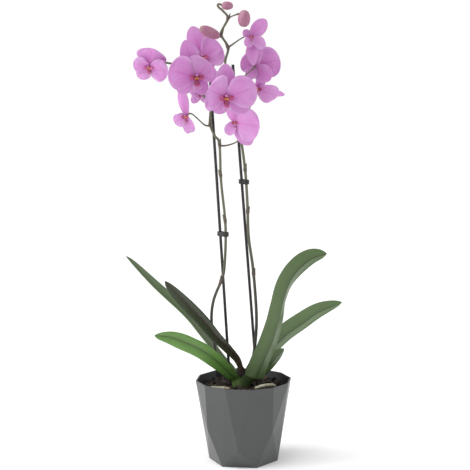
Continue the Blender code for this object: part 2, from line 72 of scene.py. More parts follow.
# name, kind, place, size and power of each lamp
LAMPS = [
    ("left", "AREA", (-2.4, -0.3, 1.2), 1.6, 34.0),
    ("right", "AREA", (2.4, 0.2, 1.0), 1.4, 16.0),
    ("above", "SUN", (-1.0, -0.6, 3.0), math.radians(50), 1.6),
]

# Flowers
PETAL_THICKNESS = 0.0005
PETAL_STEP = 0.0022  # how far the petals stand in front of the sepals
# claw, peak, point and how much of the length the middle arches forward, cup and ruffle
SEPAL_SHAPE = (0.40, 0.50, 0.60, 0.05, -0.16, 0.10)
PETAL_SHAPE = (0.24, 0.54, 0.50, 0.06, 0.12, 0.22)
SIDE_LOBE_SHAPE = (0.50, 0.60, 0.50, 0.10, 0.35, 0.10)
MIDDLE_LOBE_SHAPE = (0.45, 0.42, 0.75, -0.10, -0.25, 0.08)
LOBE_START = 0.04  # share of a petal's length where its sheet begins

# Lip of a flower of size 1, each place as right, up and front, in millimetres
LIP_HUB = (0, -2.0, 4.5)
LIP_THICKNESS = 0.0007
SIDE_LOBE_TIP = (10, 1.5, 4)
SIDE_LOBE_WIDTH = 7.5
MIDDLE_LOBE_TIP = (0, -11, 6.5)
MIDDLE_LOBE_WIDTH = 8
CALLUS_HORN = ((0.8, 0.8, -0.5), (1.2, 0.6, 1.8), (1.9, 0.2, 3.4), (2.6, 0.8, 4.6))
CALLUS_RADIUS = 0.0015
TENDRIL = ((0.3, -10.6, 6.3), (1.6, -12.4, 6.0), (3.9, -12.8, 7.2), (5.4, -11.2, 8.6),
           (5.0, -9.4, 8.4))
TENDRIL_RADIUS = 0.0005
# Column: front and up, in millimetres, then the radius of its foot and how much it swells
COLUMN_BEND = ((2.4, 1.5), (4.0, 2.3), (6.0, 2.8), (7.6, 2.4), (8.6, 1.2))
COLUMN_FOOT = 1.6
COLUMN_SWELL = 0.7
COLUMN_CAP = 0.18  # share of the length that rounds off the tip

# name: centre, the way it faces, size of its lip and column, its top, left and right sepals and
# its left and right petals, each as its tip from the centre and its width
FLOWERS = {
    "flower_1": (
        (-65, -32, 545.5), (0.2, -1, 0.06), 1,
        [((-15, 3, 50), 27), ((-25, 4, -21), 22), ((12, 6, -24), 22)],
        [((-37, -9, 11), 48), ((18, 1, 20), 51)],
    ),
    "flower_2": (
        (-24, -56, 520.5), (0.1, -1, -0.05), 1,
        [((-1, 3, 45), 26), ((-15, 4, -22), 24), ((29, 5, -20), 24)],
        [((-24, -5, 12), 53), ((40, -3, 15), 46)],
    ),
    "flower_3": (
        (-10.5, -24, 483.5), (-0.45, -0.85, -0.1), 0.5,
        [((-4, 5, 26), 26), ((-13, 12, -14), 14), ((20, 2, -32), 28)],
        [((-12, 3.5, -17), 17), ((33, -19.5, -3), 48)],
    ),
    "flower_4": (
        (-128.5, -6, 558.5), (-0.35, -0.85, -0.35), 0.7,
        [((3, -8, 25), 44), ((-17, 15.5, -17), 22), ((15, 3.5, -20), 17)],
        [((-22, 1.5, 6), 26), ((26, -10, -6), 34)],
    ),
    "flower_5": (
        (-78, -22, 492), (-0.4, -0.85, -0.3), 0.6,
        [((-8, 3, 37), 17), ((-13, 9, -2), 10), ((1, 10, -26), 14)],
        [((-16, 7.5, -10), 20), ((9, 1, -22), 17)],
    ),
    "flower_6": (
        (-58, 30, 567), (0.1, -0.9, 0.3), 0.9,
        [((-14, 15, 43), 27), ((-12, -0.5, -20), 20), ((17, 4, -13), 20)],
        [((-20, -2.5, 2), 30), ((27, 3, 15), 46)],
    ),
    "flower_7": (
        (16, 26, 556), (0.2, 0.95, 0.1), 1,
        [((-3, -4.5, 34), 24), ((-10, -2.5, -18), 17), ((21, -6, -19), 27)],
        [((-20, 4.5, 8), 30), ((34, -1, 9), 44)],
    ),
    "flower_8": (
        (17.5, 50, 525), (0.3, -0.75, -0.45), 0.7,
        [((12, 6, 12), 20), ((-8, 8.5, -18), 15), ((41, 30, -14), 12)],
        [((-14, -0.5, -8), 20), ((30, 14, -13), 30)],
    ),
    "flower_9": (
        (-60.5, 28, 521.5), (-0.15, -0.9, -0.35), 0.6,
        [((0, -1, 18), 14), ((-11, 9, -18), 13), ((10, 9, -18), 13)],
        [((-14, 1, -1), 13), ((14, -3.5, 4), 13)],
    ),
    "flower_10": (
        (8.5, 2, 598), (0.45, -0.85, 0.1), 0.45,
        [((23, 16.5, 22), 22), ((5, 0, -39), 17), ((-9, -1, 9), 12)],
        [((-6, -5.5, -13), 15), ((20, 6.5, -15), 17)],
    ),
}

BUD_JOIN = 0.0018  # how far a stalk runs on into its bud
BUD_SEAM_DEPTH = 0.055  # share of the radius
BUD_SEAM_WIDTH = 0.16
# name: centre, long axis, length and width
BUDS = {
    "bud_tip": ((-22.6, 8, 640.2), (1.0, 0.0, -0.04), 16, 11.5),
    "bud_right": ((0.5, 2, 623), (0.05, 0.0, 1.0), 23, 17),
    "bud_opening": ((-46.5, 2, 604), (0.88, 0.25, -0.4), 31, 15),
}

SPIKE_RADIUS = 0.0023
SPIKE_TAPER = 0.40  # the share of its thickness that a spike loses towards its tip
JOINT_SWELL = 0.38  # share of the radius
JOINT_REACH = 0.0028  # how far the swelling spreads up and down
STALK_RADIUS = 0.0012
STALK_STRAIGHT = 0.007  # a stalk meets its flower straight from behind over this length
STALK_END = 0.0006
BRACT_LENGTH = 0.0085
BRACT_THICKNESS = 0.0004
BRACT_SPREAD = math.radians(150)
BRACT_ROWS = 6
BRACT_HALVES = 5

# The stem of each flower spike, from the crown to its tip
SPIKES = {
    "flower_spike_left": [
        (-15.5, -2, 124), (-21, -2, 134), (-28, -1, 142), (-38, 1, 152), (-43, 2, 179.5),
        (-45, 1, 206.5), (-41.5, -1, 232), (-30.5, -2, 260.5), (-27, -2, 276), (-25, -2, 315),
        (-26, -2, 347.5), (-31.5, -1, 400.5), (-33.5, -1, 450), (-40, -1, 462),
        (-46.5, 0, 477.5), (-46, 1, 499), (-51, 4, 510), (-62, 7, 526.5), (-74, 8, 545),
        (-89.5, 6, 557), (-105, 6, 562), (-118, 4, 562), (-127, -3, 559.5),
    ],
    "flower_spike_right": [
        (8, 3, 124), (12, 2, 138), (17, 2, 174.5), (18, 2, 212.5), (13.5, 2, 272.5), (7, 2, 320),
        (5.5, 2, 361.5), (3.5, 2, 397.5), (1.5, 2, 419), (-3, 2, 451.5), (-10, 2, 486.5),
        (-16.5, 3, 514), (-22.5, 6, 540), (-25.5, 8, 563), (-21.5, 8, 583), (-31, 8, 602),
        (-22, 8, 622.5), (-28.5, 8, 633), (-33.5, 8, 637.2), (-35.8, 8, 640.5), (-34, 8, 642.6),
        (-31, 8, 641.3),
    ],
}
# Heights of the joints along each spike
JOINTS = {
    "flower_spike_left": (257, 343, 407, 450, 478, 545),
    "flower_spike_right": (268, 356, 414, 477, 514, 583, 602, 622.5),
}

# The spike that each flower's stalk leaves and the points it passes
STALKS = {
    "flower_1": ("flower_spike_left", [(-74, 8, 545), (-77, 4, 548), (-73, -14, 548)]),
    "flower_2": ("flower_spike_right", [(-16.5, 3, 514), (-14, -6, 519), (-18, -30, 522)]),
    "flower_3": ("flower_spike_left", [(-33, -1, 448), (-22.5, -4, 449), (-9, -9, 455),
                                       (-3, -12, 466), (-6, -12, 478)]),
    "flower_5": ("flower_spike_left", [(-47, 0, 475.5), (-54, -5, 477.5), (-65, -10, 488),
                                       (-71, -11, 493)]),
    "flower_6": ("flower_spike_right", [(-25, 7.5, 556), (-29, 18, 550), (-36, 34, 547),
                                         (-46, 44, 552), (-54, 43, 561)]),
    "flower_7": ("flower_spike_right", [(-20.7, 5.2, 533), (-13, 0.5, 536), (1, 6, 544),
                                        (10, 15, 551)]),
    "flower_8": ("flower_spike_right", [(-8, 2, 477), (-2, 3, 480), (1, 12, 485),
                                        (6, 40, 491), (12, 62, 502), (16, 66, 514)]),
    "flower_9": ("flower_spike_left", [(-62, 7, 526.5), (-67, 14, 533), (-70, 30, 535),
                                       (-66, 39, 528)]),
    "flower_10": ("flower_spike_right", [(-21.5, 8, 583), (-13, 8, 589), (-5, 8, 594.5),
                                         (2, 8, 598)]),
}
BUD_STALKS = {
    "bud_right": [(-22, 8, 622.5), (-15, 6, 626.5), (-8, 3.5, 629)],
    "bud_opening": [(-29.4, 8, 598.8), (-31.7, 6.2, 597.3), (-33.5, 5.7, 598.1)],
}

# name: centre line from base to tip, side direction at base, middle and tip, width, base and fold
LEAVES = {
    "leaf_upper_left": (
        [(-16.5, 18, 124.5), (-30.5, 26, 137), (-57.5, 30, 171), (-84.5, 32, 204),
         (-129.5, 35, 246.5), (-166.5, 36, 287)],
        ((0.2, 1.0, 0.2), (0.2, 1.0, 0.22), (0.2, 1.0, 0.25)), 27, 0.60, 0.50,
    ),
    "leaf_dark_left": (
        [(-3.5, -12, 137), (-9, -13, 150), (-22, -14, 165.5), (-38.5, -15, 183.5),
         (-55.5, -15, 204.5), (-76, -17, 226.5), (-94, -18, 244.5), (-109.5, -18, 261)],
        ((0.5, -0.75, 0.35), (0.55, -0.60, 0.42), (0.6, -0.5, 0.5)), 26, 0.48, 0.35,
    ),
    "leaf_lower_left": (
        [(-13.5, -12, 122), (-30, -18, 140), (-54, -26, 161.5), (-78.5, -33, 176),
         (-100.5, -38, 185.5), (-123.5, -41, 188.5)],
        ((0.35, -0.6, 0.7), (0.32, -0.62, 0.7), (0.3, -0.65, 0.7)), 36, 0.55, 0.22,
    ),
    "leaf_upright_right": (
        [(16, -17, 122), (25, -19, 146), (37, -22, 173.5), (46.5, -22, 203.5),
         (52, -21, 230.5), (60.5, -18, 256.5), (75, -14, 277), (93.5, -11, 292),
         (116, -8, 298)],
        ((-0.85, -0.4, 0.3), (-0.52, -0.84, 0.17), (-0.5, -0.3, 0.8)), 39, 0.80, 0.42,
    ),
    "leaf_lower_right": (
        [(2, 12, 115.5), (13.5, 19, 125.5), (32, 22, 148), (57.5, 24, 174.5),
         (83, 24, 194), (108, 22, 211), (139, 18, 224)],
        ((-0.4, -0.55, 0.7), (-0.3, -0.58, 0.75), (-0.2, -0.6, 0.8)), 37, 0.50, 0.30,
    ),
    "leaf_short_right": (
        [(10, 1, 114.5), (22, 0, 126), (38.5, 1, 142), (57, 2, 160.5)],
        ((-0.6, -0.3, 0.75), (-0.5, -0.5, 0.7), (-0.4, -0.65, 0.6)), 27, 0.38, 0.30,
    ),
}
# name: upper side at the base and towards the tip, then the underside; the green leaves' darker base
# tones are painted shade low in the plant, the dark leaf's maroon base is its own colour
LEAF_TONES = {
    "leaf_upper_left": ((0.045, 0.080, 0.022), (0.11, 0.16, 0.075), (0.22, 0.28, 0.16)),
    "leaf_dark_left": ((0.040, 0.010, 0.012), (0.018, 0.030, 0.007), (0.024, 0.014, 0.017)),
    "leaf_lower_left": ((0.042, 0.085, 0.020), (0.085, 0.20, 0.028), (0.11, 0.19, 0.05)),
    "leaf_upright_right": ((0.020, 0.044, 0.010), (0.062, 0.115, 0.036), (0.075, 0.125, 0.042)),
    "leaf_lower_right": ((0.028, 0.062, 0.016), (0.085, 0.150, 0.052), (0.090, 0.150, 0.052)),
    "leaf_short_right": ((0.020, 0.042, 0.010), (0.045, 0.080, 0.025), (0.06, 0.10, 0.03)),
}
LEAF_THICKNESS = 0.0024
LEAF_WIDEST = 0.58  # share of the length
LEAF_ROWS = 44
LEAF_HALVES = 9  # points from the middle of a leaf to its edge
# Each leaf's foot wraps the crown
SHEATH_ROWS = 10
CROWN_AXIS = Vector((-0.004, 0.0, 0.0))
SHEATH_FOOT = 0.104
SHEATH_RADIUS = 0.0092
SHEATH_THICKNESS = 0.0022
SHEATH_SPREAD = math.radians(72)

ROOTS = {
    "aerial_root_right": [(16, -26, 109.7), (22, -31, 113), (31, -32, 115.5), (39, -28, 115),
                          (45, -20, 111.5)],
    "aerial_root_left": [(-46, -24, 110), (-38, -31, 111.5), (-28, -34, 112), (-19, -33, 110.3)],
}
ROOT_RADIUS = 0.0024

BARK_CHIPS = 240
CHIP_SIZE = (14, 9, 5)  # mm
CHIP_POINTS = 14
CHIP_LEAN = 0.35  # radians, the usual slope of a chip
CHIP_EDGE = 0.0004
RIM_CLEARANCE = 0.006  # between the outermost chips' middles and the bark's edge

POT_EDGE = 0.0006
CLIP_EDGE = 0.0004
TAB_RADIUS = 0.0022
TAB_ROUTE = ((0.0012, -0.0006), (0.0022, 0.0030), (0.0048, 0.0062))  # across and out from the clip


# --- meshes ---


def mm(point):
    return Vector(point) * MM


def smooth_route(points, count):
    """Evenly numbered points on a smooth curve through all the given ones."""
    ends = [2 * points[0] - points[1], *points, 2 * points[-1] - points[-2]]
    spans = len(points) - 1
    route = []
    for step in range(count):
        along = spans * step / (count - 1)
        i = min(int(along), spans - 1)
        t = along - i
        a, b, c, d = ends[i:i + 4]
        route.append(
            0.5 * ((2 * b) + (c - a) * t + (2 * a - 5 * b + 4 * c - d) * t * t
                   + (3 * b - a - 3 * c + d) * t * t * t)
        )
    return route


def to_object(name, shape, materials):
    mesh = bpy.data.meshes.new(name)
    shape.to_mesh(mesh)
    shape.free()
    mesh.shade_smooth()
    for material in materials:
        mesh.materials.append(material)
    piece = bpy.data.objects.new(name, mesh)
    bpy.context.scene.collection.objects.link(piece)
    return piece


def show(piece, slot, *nodes):
    """The piece moves with the plant and stands for CAD nodes, which it hides; slot is not used."""
    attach(piece, "root")
    if nodes:
        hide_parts(*nodes)


def new_shape():
    shape = bmesh.new()
    shape.loops.layers.uv.new("surface")
    return shape


def add_grid(shape, grid, material=0):
    """Quads through rows of points; the map is the share along and the share across."""
    layer = shape.loops.layers.uv["surface"]
    rows = [[shape.verts.new(p) for p in row] for row in grid]
    last, width = len(rows) - 1, len(rows[0]) - 1
    for i in range(last):
        for j in range(width):
            corners = ((i, j), (i, j + 1), (i + 1, j + 1), (i + 1, j))
            face = shape.faces.new([rows[r][c] for r, c in corners])
            face.material_index = material
            for loop, (r, c) in zip(face.loops, corners):
                loop[layer].uv = (r / last, c / width)
    return rows


def add_tube(shape, route, radius, sides=12, flat=1.0):
    """A closed bar, round or flattened; radius is a function of the share along."""
    last = len(route) - 1
    side = (route[1] - route[0]).normalized().orthogonal().normalized()
    grid = []
    for i, place in enumerate(route):
        ahead = (route[min(i + 1, last)] - route[max(i - 1, 0)]).normalized()
        side = (side - ahead * side.dot(ahead)).normalized()
        other = ahead.cross(side)
        size = radius(i / last)
        grid.append([
            place + (side * math.cos(a) + other * flat * math.sin(a)) * size
            for a in [2 * math.pi * j / sides for j in range(sides + 1)]
        ])
    rows = add_grid(shape, grid)
    shape.faces.new(list(reversed(rows[0][:-1])))
    shape.faces.new(rows[-1][:-1])
    bmesh.ops.remove_doubles(shape, verts=[v for row in rows for v in row], dist=WELD)


def refine(piece):
    finer = piece.modifiers.new("smooth", "SUBSURF")
    finer.levels = 1
    finer.render_levels = 1


def thicken(piece, thickness):
    refine(piece)
    shell = piece.modifiers.new("thickness", "SOLIDIFY")
    shell.thickness = thickness
    shell.offset = 0.0


# --- materials ---


class Finish:
    """A Principled material and short calls that add nodes to it."""

    def __init__(self, name, roughness=0.5, **values):
        self.material = bpy.data.materials.new(name)
        self.material.use_nodes = True
        self.tree = self.material.node_tree
        self.shader = self.tree.nodes["Principled BSDF"]
        self.shader.inputs["Roughness"].default_value = roughness
        for socket, value in values.items():
            self.shader.inputs[socket.replace("_", " ")].default_value = value

    def put(self, socket, value):
        if isinstance(value, bpy.types.NodeSocket):
            self.tree.links.new(value, socket)
        else:
            socket.default_value = value

    def node(self, kind, inputs=None, out=0, **settings):
        made = self.tree.nodes.new(kind)
        for key, value in settings.items():
            setattr(made, key, value)
        for key, value in (inputs or {}).items():
            self.put(made.inputs[key], value)
        return made.outputs[out]

    def surface(self):
        """The share along a piece and the share across it."""
        uv = self.node("ShaderNodeUVMap", uv_map="surface")
        parts = self.tree.nodes.new("ShaderNodeSeparateXYZ")
        self.put(parts.inputs[0], uv)
        return parts.outputs[0], parts.outputs[1]

    def place(self):
        return self.node("ShaderNodeTexCoord", out=OBJECT_COORDINATES)

    def math(self, operation, a, b=0.0):
        return self.node("ShaderNodeMath", {0: a, 1: b}, operation=operation)

    def smooth(self, value, low, high):
        """0 below low and 1 above high, or the other way round if low is the larger."""
        return self.node(
            "ShaderNodeMapRange", {0: value, 1: low, 2: high, 3: 0.0, 4: 1.0},
            interpolation_type="SMOOTHSTEP",
        )

    def vector(self, x, y):
        return self.node("ShaderNodeCombineXYZ", {0: x, 1: y, 2: 0.0})

    def stretch(self, place, x, y, z):
        return self.node("ShaderNodeVectorMath", {0: place, 1: (x, y, z)}, operation="MULTIPLY")

    def noise(self, vector, scale, detail=3.0, rough=0.55):
        return self.node(
            "ShaderNodeTexNoise",
            {"Vector": vector, "Scale": scale, "Detail": detail, "Roughness": rough},
        )

    def mix(self, factor, a, b):
        made = self.tree.nodes.new("ShaderNodeMix")
        made.data_type = "RGBA"
        for index, value in ((0, factor), (6, a), (7, b)):
            if isinstance(value, tuple):
                value = (*value, 1.0)
            self.put(made.inputs[index], value)
        return made.outputs[2]

    def colour(self, value):
        self.put(self.shader.inputs["Base Color"], value)

    def bump(self, height, strength, distance):
        normal = self.node(
            "ShaderNodeBump", {"Height": height, "Strength": strength, "Distance": distance}
        )
        self.put(self.shader.inputs["Normal"], normal)


def petal_finish(name, base, deep, pale, veins):
    """A thin petal: deep at its base, with fanned veins and a pale rim."""
    f = Finish(name, 0.48, Subsurface_Weight=0.25, Subsurface_Scale=0.004, Sheen_Weight=0.15)
    f.shader.inputs["Subsurface Radius"].default_value = (1.0, 0.45, 0.8)
    along, across = f.surface()
    middle = f.math("ABSOLUTE", f.math("SUBTRACT", across, 0.5))
    place = f.place()
    drift = f.math("MULTIPLY", f.math("SUBTRACT", f.noise(place, 60.0), 0.5), 0.05)
    fan = f.vector(f.math("ADD", across, drift), f.math("MULTIPLY", along, 0.35))
    lines = f.node(
        "ShaderNodeTexWave",
        {"Vector": fan, "Scale": 4.6, "Distortion": 0.9, "Detail": 2.0, "Detail Scale": 2.0},
        out=FACTOR_OF_WAVE, bands_direction="X",
    )
    vein = f.math("POWER", lines, 5.0)
    blush = f.smooth(f.math("ADD", along, f.math("MULTIPLY", middle, 0.6)), 0.80, 0.05)
    cloud = f.smooth(f.noise(place, 38.0, 2.0), 0.35, 0.70)
    rim = f.math("MAXIMUM", f.smooth(middle, 0.34, 0.50), f.smooth(along, 0.80, 1.0))
    tone = f.mix(f.math("MULTIPLY", cloud, 0.45), base, pale)
    tone = f.mix(f.math("MULTIPLY", blush, 0.75), tone, deep)
    tone = f.mix(f.math("MULTIPLY", rim, 0.55), tone, pale)
    tone = f.mix(f.math("MULTIPLY", vein, veins), tone, deep)
    rib = f.math("MULTIPLY", f.smooth(middle, 0.035, 0.0), f.smooth(along, 1.0, 0.55))
    f.colour(f.mix(f.math("MULTIPLY", rib, 0.5), tone, deep))
    f.bump(f.math("SUBTRACT", f.math("MULTIPLY", vein, -1.0), rib), 0.35, 0.0004)
    return f.material


def lip_finish():
    """Magenta-red with a pale, orange-flushed throat and dark streaks."""
    f = Finish("lip_magenta_look", 0.42, Subsurface_Weight=0.15, Subsurface_Scale=0.003)
    along, across = f.surface()
    place = f.place()
    streaks = f.node(
        "ShaderNodeTexWave",
        {"Vector": f.vector(across, f.math("MULTIPLY", along, 0.2)), "Scale": 3.4,
         "Distortion": 1.6, "Detail": 2.0},
        out=FACTOR_OF_WAVE, bands_direction="X",
    )
    throat = f.smooth(along, 0.42, 0.05)
    tone = f.mix(f.smooth(f.noise(place, 220.0), 0.35, 0.7), (0.42, 0.028, 0.13), (0.60, 0.15, 0.38))
    tone = f.mix(f.math("MULTIPLY", throat, 0.6), tone, (0.60, 0.22, 0.10))
    dark = f.math("MULTIPLY", f.math("POWER", streaks, 1.6), f.smooth(along, 1.1, 0.3))
    f.colour(f.mix(f.math("MULTIPLY", dark, 0.92), tone, (0.13, 0.004, 0.035)))
    f.bump(streaks, 0.3, 0.0003)
    return f.material


def callus_finish():
    f = Finish("callus_orange", 0.35, Coat_Weight=0.3)
    place = f.place()
    spots = f.node("ShaderNodeTexVoronoi", {"Vector": place, "Scale": 900.0})
    tone = f.mix(f.smooth(f.noise(place, 300.0), 0.3, 0.7), (0.62, 0.22, 0.04), (0.75, 0.42, 0.10))
    f.colour(f.mix(f.smooth(spots, 0.34, 0.18), tone, (0.30, 0.02, 0.03)))
    f.bump(f.noise(place, 500.0), 0.3, 0.0003)
    return f.material


def column_finish():
    f = Finish("column_pink_look", 0.4, Subsurface_Weight=0.2, Subsurface_Scale=0.003)
    along = f.surface()[0]
    place = f.place()
    tone = f.mix(f.smooth(f.noise(place, 260.0), 0.3, 0.7), (0.46, 0.11, 0.34), (0.54, 0.18, 0.44))
    f.colour(f.mix(f.smooth(along, 0.66, 0.92), tone, (0.56, 0.24, 0.46)))
    f.bump(f.noise(place, 400.0), 0.2, 0.0002)
    return f.material


def cirrus_finish():
    f = Finish("cirrus_pale", 0.45)
    along = f.surface()[0]
    tone = f.mix(f.smooth(along, 0.1, 0.5), (0.60, 0.20, 0.38), (0.62, 0.52, 0.55))
    speckle = f.smooth(f.noise(f.place(), 700.0), 0.45, 0.7)
    f.colour(f.mix(f.math("MULTIPLY", speckle, 0.4), tone, (0.45, 0.30, 0.34)))
    return f.material


def bud_finish():
    f = Finish("bud_rose_look", 0.45, Subsurface_Weight=0.1, Subsurface_Scale=0.003)
    along, across = f.surface()
    place = f.place()
    ribs = f.node(
        "ShaderNodeTexWave",
        {"Vector": f.vector(across, f.math("MULTIPLY", along, 0.15)), "Scale": 5.5,
         "Distortion": 1.2, "Detail": 2.0},
        out=FACTOR_OF_WAVE, bands_direction="X",
    )
    tone = f.mix(f.smooth(f.noise(place, 90.0), 0.3, 0.7), (0.38, 0.13, 0.24), (0.44, 0.22, 0.30))
    ends = f.math("MAXIMUM", f.smooth(along, 0.28, 0.05), f.smooth(along, 0.86, 1.0))
    tone = f.mix(f.math("MULTIPLY", ends, 0.65), tone, (0.24, 0.16, 0.10))
    f.colour(f.mix(f.math("MULTIPLY", f.math("POWER", ribs, 3.0), 0.4), tone, (0.30, 0.08, 0.16)))
    f.bump(ribs, 0.3, 0.0004)
    return f.material


def leaf_finish(name, base, tip):
    """One side of a leaf: faint lengthwise veins, mottling and a waxy coat, with painted shade in its
    groove and down its middle, a painted sheen on one half and a foot darkened partly by painted shade.
    """
    f = Finish(name, 0.48, Specular_IOR_Level=0.32, Coat_Weight=0.12, Coat_Roughness=0.28)
    along, across = f.surface()
    place = f.place()
    middle = f.math("ABSOLUTE", f.math("SUBTRACT", across, 0.5))
    lines = f.node(
        "ShaderNodeTexWave",
        {"Vector": f.vector(across, f.math("MULTIPLY", along, 0.1)), "Scale": 9.0,
         "Distortion": 0.7, "Detail": 2.0},
        out=FACTOR_OF_WAVE, bands_direction="X",
    )
    mottle = f.smooth(f.noise(place, 45.0, 4.0), 0.3, 0.75)
    # darker towards the foot: painted shade low in the plant, except the dark leaf's maroon foot, which
    # is its own colour
    tone = f.mix(f.smooth(along, 0.12, 0.62), base, tip)
    light = tuple(min(1.0, 1.35 * c + 0.02) for c in tip)
    tone = f.mix(f.math("MULTIPLY", mottle, 0.35), tone, light)
    tone = f.mix(f.math("MULTIPLY", f.math("POWER", lines, 3.0), 0.16), tone, light)
    # painted sheen: one half of the leaf, beside the groove, is lighter as if light falls on it
    painted_sheen_half = f.smooth(f.math("ADD", across, f.math("MULTIPLY", mottle, 0.08)), 0.56, 0.40)
    tone = f.mix(f.math("MULTIPLY", painted_sheen_half, 0.30), tone, light)
    # painted shade: darker towards the middle, down the leaf's fold
    painted_middle_shade = f.smooth(middle, 0.16, 0.0)
    tone = f.mix(f.math("MULTIPLY", painted_middle_shade, 0.40), tone, base)
    edge = f.smooth(middle, 0.455, 0.50)
    tone = f.mix(f.math("MULTIPLY", edge, 0.45), tone, tuple(0.45 * c for c in base))
    # the groove: a narrow dark line of painted shade in its colour, and a dip in the bump
    groove_and_its_shade = f.smooth(middle, 0.030, 0.006)
    f.colour(f.mix(f.math("MULTIPLY", groove_and_its_shade, 0.6), tone, tuple(0.35 * c for c in base)))
    relief = f.math("SUBTRACT", f.math("MULTIPLY", lines, 0.15), groove_and_its_shade)
    f.bump(f.math("ADD", relief, f.math("MULTIPLY", f.noise(place, 260.0), 0.2)), 0.45, 0.0008)
    return f.material


def stem_finish(name, low, high, joint):
    """A stem that is dark low down and olive higher up, coloured again at its joints."""
    f = Finish(name, 0.5)
    place = f.place()
    parts = f.tree.nodes.new("ShaderNodeSeparateXYZ")
    f.put(parts.inputs[0], place)
    grain = f.noise(f.stretch(place, 1.0, 1.0, 0.12), 900.0, 3.0)
    tone = f.mix(f.smooth(parts.outputs[2], 0.16, 0.42), low, high)
    tone = f.mix(f.math("MULTIPLY", f.smooth(grain, 0.4, 0.75), 0.35), tone, joint)
    mark = f.node("ShaderNodeAttribute", attribute_name="joint", out=FACTOR)
    f.colour(f.mix(mark, tone, joint))
    f.bump(grain, 0.35, 0.0004)
    return f.material


def root_finish():
    f = Finish("root_pale_look", 0.62)
    place = f.place()
    tone = f.mix(f.smooth(f.noise(place, 160.0, 4.0), 0.3, 0.7), (0.30, 0.29, 0.20), (0.52, 0.50, 0.40))
    f.colour(f.mix(f.smooth(f.noise(place, 60.0), 0.55, 0.7), tone, (0.22, 0.16, 0.09)))
    f.bump(f.noise(place, 500.0, 4.0), 0.5, 0.0006)
    return f.material


def bark_finish():
    f = Finish("bark_brown_look", 0.85)
    place = f.place()
    chip = f.node("ShaderNodeAttribute", attribute_name="chip", out=FACTOR)
    grain = f.noise(f.stretch(place, 1.0, 0.25, 1.0), 420.0, 5.0, 0.7)
    tone = f.mix(chip, (0.012, 0.008, 0.006), (0.060, 0.038, 0.025))
    tone = f.mix(f.math("MULTIPLY", f.smooth(grain, 0.5, 0.75), 0.5), tone, (0.16, 0.11, 0.075))
    f.colour(tone)
    f.bump(grain, 0.8, 0.0015)
    return f.material


def pot_finish(name, base, light, roughness):
    """Satin moulded plastic with faint streaks, fine scuffs and lighter sharp edges."""
    f = Finish(name, roughness)
    place = f.place()
    cloud = f.noise(place, 18.0, 3.0)
    scuff = f.smooth(f.noise(f.stretch(place, 1.0, 1.0, 0.18), 260.0, 5.0, 0.7), 0.62, 0.80)
    tone = f.mix(f.math("MULTIPLY", f.smooth(cloud, 0.3, 0.7), 0.35), base, light)
    tone = f.mix(f.math("MULTIPLY", scuff, 0.25), tone, light)
    # lighter along sharp edges and the rim
    worn = f.smooth(f.node("ShaderNodeNewGeometry", out=POINTINESS), 0.52, 0.60)
    f.colour(f.mix(f.math("MULTIPLY", worn, 0.5), tone, tuple(1.5 * c for c in light)))
    rough = f.math("ADD", f.math("MULTIPLY", f.smooth(cloud, 0.3, 0.7), 0.08), roughness - 0.03)
    f.put(f.shader.inputs["Roughness"], f.math("ADD", rough, f.math("MULTIPLY", scuff, 0.1)))
    f.bump(f.noise(place, 1400.0, 2.0), 0.10, 0.0002)
    return f.material


def stake_finish():
    f = Finish("stake_dark_look", 0.5)
    place = f.place()
    grain = f.noise(f.stretch(place, 1.0, 1.0, 0.05), 1200.0, 4.0)
    f.colour(f.mix(f.smooth(grain, 0.4, 0.7), (0.014, 0.012, 0.013), (0.045, 0.038, 0.038)))
    f.bump(grain, 0.4, 0.0004)
    return f.material


def clip_finish():
    f = Finish("clip_black_look", 0.3)
    grain = f.noise(f.place(), 700.0, 3.0)
    f.colour(f.mix(f.smooth(grain, 0.4, 0.7), (0.010, 0.010, 0.011), (0.022, 0.022, 0.024)))
    f.bump(grain, 0.15, 0.0002)
    return f.material


# --- the pot and what fills it ---


def make_pot():
    """The CAD pot with softened edges, near-black on the inside: painted shade in the hollow and a dark
    liner's colour.
    """
    shape = bmesh.new()
    shape.from_mesh(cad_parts["pot"].data)
    bmesh.ops.remove_doubles(shape, verts=shape.verts, dist=1e-5)
    bmesh.ops.dissolve_limit(
        shape, angle_limit=math.radians(1.0), verts=shape.verts, edges=shape.edges
    )
    # faces of the hollow and its floor take the near-black finish: painted shade inside the pot, and
    # the dark liner's colour
    for face in shape.faces:
        centre = face.calc_center_median()
        inward = face.normal.x * centre.x + face.normal.y * centre.y < 0
        face.material_index = int(inward or (face.normal.z > 0.5 and centre.z < 0.05))
    pot = to_object("look_pot", shape, [
        pot_finish("pot_grey_look", (0.060, 0.063, 0.062), (0.078, 0.081, 0.080), 0.36),
        pot_finish("pot_inside_shade_and_liner_look", (0.012, 0.012, 0.016), (0.020, 0.020, 0.026), 0.55),
    ])
    pot.data.shade_flat()
    soft = pot.modifiers.new("soft_edges", "BEVEL")
    soft.width = POT_EDGE
    soft.segments = 3
    soft.limit_method = "ANGLE"
    soft.angle_limit = math.radians(4)
    soft.harden_normals = True
    show(pot, "pot_grey", "pot")


